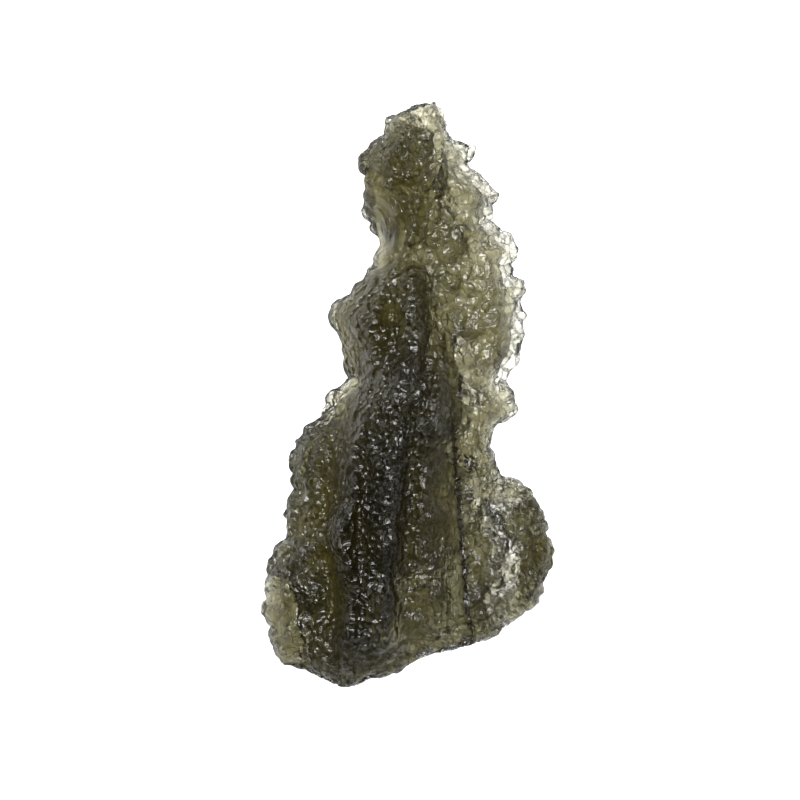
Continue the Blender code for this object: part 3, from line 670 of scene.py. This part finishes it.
def etchedNaturalGlass():
    # transmission with a plain absorbing volume; roughness wanders in patches, a fine bump breaks up glints,
    # and a dark tint of painted shade and soil goes with how deep a point lies in a narrow groove
    lowest, highest = glass["patchRange"]
    material = bpy.data.materials.new("etchedNaturalGlass")
    material.use_nodes = True
    tree = material.node_tree
    shader = tree.nodes["Principled BSDF"]
    place = addNode(tree, "ShaderNodeTexCoord")
    patches = addNode(tree, "ShaderNodeTexNoise", inputs={
        "Vector": place.outputs["Object"], "Scale": 1000 / glass["roughSize"], "Detail": 3.0})
    rough = addNode(tree, "ShaderNodeMapRange", inputs={
        "Value": patches.outputs["Fac"], "From Min": lowest, "From Max": highest,
        "To Min": glass["roughLow"], "To Max": glass["roughHigh"]})
    cupped = []
    for size in (glass["finePit"], glass["finestPit"]):
        pits = addNode(tree, "ShaderNodeTexVoronoi", inputs={
            "Vector": place.outputs["Object"], "Scale": 1000 / size})
        cupped.append(addNode(tree, "ShaderNodeMath", {"operation": "POWER"}, {
            0: pits.outputs["Distance"], 1: 2.0}))
    bothPits = addNode(tree, "ShaderNodeMath", {"operation": "MULTIPLY_ADD"}, {
        0: cupped[1].outputs["Value"], 1: glass["finestShare"], 2: cupped[0].outputs["Value"]})
    flow = addNode(tree, "ShaderNodeAttribute", {"attribute_name": "flow"})
    spacing, length = glass["striaSpacing"], glass["striaLength"]
    lined = addNode(tree, "ShaderNodeVectorMath", {"operation": "MULTIPLY"}, {
        0: flow.outputs["Vector"], 1: (1 / spacing, 1 / length, 0.0)})
    striae = addNode(tree, "ShaderNodeTexNoise", inputs={
        "Vector": lined.outputs["Vector"], "Scale": 1.0, "Detail": 2.0})
    depths = addNode(tree, "ShaderNodeAttribute", {"attribute_name": "etching"})
    depth = addNode(tree, "ShaderNodeSeparateXYZ", inputs={"Vector": depths.outputs["Vector"]})
    warp = addNode(tree, "ShaderNodeTexNoise", inputs={
        "Vector": place.outputs["Object"], "Scale": 1000 / glass["crackSize"], "Detail": 2.0})
    warped = addNode(tree, "ShaderNodeVectorMath", {"operation": "MULTIPLY_ADD"}, {
        0: warp.outputs["Color"], 1: (glass["crackWarp"] * metresPerMm,) * 3, 2: place.outputs["Object"]})
    cells = addNode(tree, "ShaderNodeTexVoronoi", {"feature": "DISTANCE_TO_EDGE"}, {
        "Vector": warped.outputs["Vector"], "Scale": 1000 / glass["crackSize"]})
    width = addNode(tree, "ShaderNodeMapRange", inputs={
        "Value": patches.outputs["Fac"], "From Min": lowest, "From Max": highest,
        "To Min": glass["crackWidth"][0], "To Max": glass["crackWidth"][1]})
    cracks = addNode(tree, "ShaderNodeMapRange", {"interpolation_type": "SMOOTHSTEP"}, {
        "Value": cells.outputs["Distance"], "From Max": width.outputs["Result"]})
    crackHeight = addNode(tree, "ShaderNodeMath", {"operation": "MULTIPLY"}, {
        0: cracks.outputs["Result"], 1: depth.outputs["Z"]})
    pitHeight = addNode(tree, "ShaderNodeMath", {"operation": "MULTIPLY_ADD"}, {
        0: bothPits.outputs["Value"], 1: depth.outputs["X"], 2: crackHeight.outputs["Value"]})
    height = addNode(tree, "ShaderNodeMath", {"operation": "MULTIPLY_ADD"}, {
        0: striae.outputs["Fac"], 1: depth.outputs["Y"], 2: pitHeight.outputs["Value"]})
    bump = addNode(tree, "ShaderNodeBump", inputs={
        "Height": height.outputs["Value"], "Strength": 1.0, "Distance": metresPerMm})
    # painted shade and soil: a dark tint along the cracks' lines, as deep as the cracks, and in the long
    # groove, for their steep walls and soil
    inCracks = addNode(tree, "ShaderNodeMath", {"operation": "SUBTRACT"}, {
        0: depth.outputs["Z"], 1: crackHeight.outputs["Value"]})
    inGroove = addNode(tree, "ShaderNodeSeparateXYZ", inputs={"Vector": flow.outputs["Vector"]})
    soiledAndShaded = addNode(tree, "ShaderNodeMath", {"operation": "MULTIPLY_ADD", "use_clamp": True}, {
        0: inCracks.outputs["Value"], 1: glass["soilAndShadeShare"], 2: inGroove.outputs["Z"]})
    tint = addNode(tree, "ShaderNodeMix", {"data_type": "RGBA"}, {
        0: soiledAndShaded.outputs["Value"], 6: (*linear(glass["tint"]), 1.0), 7: (*linear(glass["soilAndShade"]), 1.0)})
    tree.links.new(tint.outputs[2], shader.inputs["Base Color"])
    shader.inputs["IOR"].default_value = glass["ior"]
    shader.inputs["Transmission Weight"].default_value = 1.0
    tree.links.new(rough.outputs["Result"], shader.inputs["Roughness"])
    tree.links.new(bump.outputs["Normal"], shader.inputs["Normal"])
    absorbed = np.array([glass["absorbedRed"], glass["absorbedGreen"], glass["absorbedBlue"]])
    volume = addNode(tree, "ShaderNodeVolumeAbsorption", inputs={
        "Color": (*(1 - absorbed), 1.0), "Density": 1.0 / metresPerMm})
    tree.links.new(volume.outputs["Volume"], tree.nodes["Material Output"].inputs["Volume"])
    return material


def tektite():
    # the stone in the place of its solid: its outline's middle lies over the middle of the solid's box
    grid, fine, flow = stoneSkin()
    half = stoneForm["halfLength"]
    left, right = edgesAt(np.arange(-half, half, stoneForm["outlineStep"]))
    low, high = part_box("tektite")
    middle = np.array([(low[0] + high[0]) / 2, (low[1] + high[1]) / 2, low[2]])
    grid = (grid - np.array([(left.min() + right.max()) / 2, 0.0, 0.0])) * metresPerMm + middle
    mesh = closedMesh("etchedStone", grid)
    for name, field in (("etching", fine), ("flow", flow)):
        values = ringsAndEnds(field)
        mesh.attributes.new(name, "FLOAT_VECTOR", "POINT").data.foreach_set("vector", values.ravel())
    mesh.materials.append(etchedNaturalGlass())
    piece = bpy.data.objects.new("etchedStone", mesh)
    bpy.context.scene.collection.objects.link(piece)
    return piece


stone = tektite()
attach(stone, "root")
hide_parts("tektite")
print("stone made,", len(stone.data.polygons), "faces")

# The light table, the studio lights and the camera. Lengths in metres here.
studio = {
    "tableHalf": 2.0,
    "tableColour": "#E9E9E6",
    "tableShade": 0.35,            # of that colour, as the table mostly glows
    "tableRough": 0.6,
    "tableSpecular": 0.2,
    "tableGlow": 1.0,              # near the stone, falling to the edge value further out
    "tableGlowFar": 0.50,
    "glowRadius": 0.05,
    "glowFade": 0.20,
    "skyLow": "#808284",
    "skyHigh": "#101114",
    "skyTurns": (0.02, 0.20),      # sines of the heights between which the sky darkens
    "skyStrength": 1.0,
    "softboxes": [                 # azimuth and height in degrees, distance, width, depth, power in watts
        (97, 61, 0.45, 0.40, 0.20, 3.8),
        (300, 50, 0.45, 0.20, 0.20, 0.5),
    ],
    "exposure": 0.4,               # in stops, with the gamma below: a crisp picture, as the photo is
    "gamma": 0.85,
    "lens": 100.0,                 # mm
    "sensor": 36.0,
    "clip": (0.005, 10.0),
    "halfView": 0.02857,           # half the picture's width at the stone: 800 pixels, 14 to a mm
    "viewMiddle": (-0.607, -0.571),   # mm from the stone's middle
    "viewHeight": 0.0035,
}


def lightTable():
    # a flat square whose glow fades with the distance from the middle
    half = studio["tableHalf"]
    mesh = bpy.data.meshes.new("lightTable")
    corners = [(-half, -half, 0.0), (half, -half, 0.0), (half, half, 0.0), (-half, half, 0.0)]
    mesh.from_pydata(corners, [], [(0, 1, 2, 3)])
    material = bpy.data.materials.new("opalAcrylic")
    material.use_nodes = True
    tree = material.node_tree
    shader = tree.nodes["Principled BSDF"]
    place = addNode(tree, "ShaderNodeTexCoord")
    reach = addNode(tree, "ShaderNodeVectorMath", {"operation": "LENGTH"}, {0: place.outputs["Object"]})
    glow = addNode(tree, "ShaderNodeMapRange", {"interpolation_type": "SMOOTHSTEP"}, {
        "Value": reach.outputs["Value"], "From Min": studio["glowRadius"], "From Max": studio["glowFade"],
        "To Min": studio["tableGlow"], "To Max": studio["tableGlowFar"]})
    shader.inputs["Base Color"].default_value = (*linear(studio["tableColour"]) * studio["tableShade"], 1.0)
    shader.inputs["Roughness"].default_value = studio["tableRough"]
    shader.inputs["Specular IOR Level"].default_value = studio["tableSpecular"]
    shader.inputs["Emission Color"].default_value = (1.0, 1.0, 1.0, 1.0)
    tree.links.new(glow.outputs["Result"], shader.inputs["Emission Strength"])
    mesh.materials.append(material)
    table = bpy.data.objects.new("lightTable", mesh)
    bpy.context.scene.collection.objects.link(table)
    return table


def sky():
    # a plain gradient from the horizon up, by the height of the direction alone
    world = bpy.data.worlds.new("studioAir")
    world.use_nodes = True
    tree = world.node_tree
    tree.nodes.clear()
    place = addNode(tree, "ShaderNodeTexCoord")
    split = addNode(tree, "ShaderNodeSeparateXYZ", inputs={"Vector": place.outputs["Generated"]})
    mix = addNode(tree, "ShaderNodeMapRange", {"interpolation_type": "SMOOTHSTEP"}, {
        "Value": split.outputs["Z"], "From Min": studio["skyTurns"][0], "From Max": studio["skyTurns"][1]})
    colour = addNode(tree, "ShaderNodeMix", {"data_type": "RGBA"}, {
        0: mix.outputs["Result"], 6: (*linear(studio["skyLow"]), 1.0), 7: (*linear(studio["skyHigh"]), 1.0)})
    background = addNode(tree, "ShaderNodeBackground", inputs={
        "Color": colour.outputs[2], "Strength": studio["skyStrength"]})
    output = addNode(tree, "ShaderNodeOutputWorld", inputs={"Surface": background.outputs["Background"]})
    output.is_active_output = True
    bpy.context.scene.world = world


def softbox(number, azimuth, height, distance, width, depth, power):
    # a rectangular light on a sphere round the stone, facing it
    light = bpy.data.lights.new(f"softbox{number}", "AREA")
    light.shape = "RECTANGLE"
    light.size = width
    light.size_y = depth
    light.energy = power
    box = bpy.data.objects.new(light.name, light)
    turn, tilt = np.radians(azimuth), np.radians(height)
    box.location = (distance * np.cos(tilt) * np.cos(turn), distance * np.cos(tilt) * np.sin(turn),
                    distance * np.sin(tilt))
    box.rotation_euler = (np.pi / 2 - tilt, 0.0, turn + np.pi / 2)
    bpy.context.scene.collection.objects.link(box)


def photoCamera():
    # straight down, the tip at the top of the picture
    camera = bpy.data.cameras.new("camera")
    camera.lens = studio["lens"]
    camera.sensor_width = studio["sensor"]
    camera.clip_start, camera.clip_end = studio["clip"]
    distance = studio["halfView"] * 2 * studio["lens"] / studio["sensor"]
    holder = bpy.data.objects.new("camera", camera)
    holder.location = (studio["viewMiddle"][0] * metresPerMm, studio["viewMiddle"][1] * metresPerMm,
                       studio["viewHeight"] + distance)
    bpy.context.scene.collection.objects.link(holder)
    bpy.context.scene.camera = holder


lightTable()
sky()
for number, row in enumerate(studio["softboxes"]):
    softbox(number, *row)
photoCamera()
view = bpy.context.scene.view_settings
view.view_transform = "Standard"
view.exposure = studio["exposure"]
view.gamma = studio["gamma"]
print("studio made")
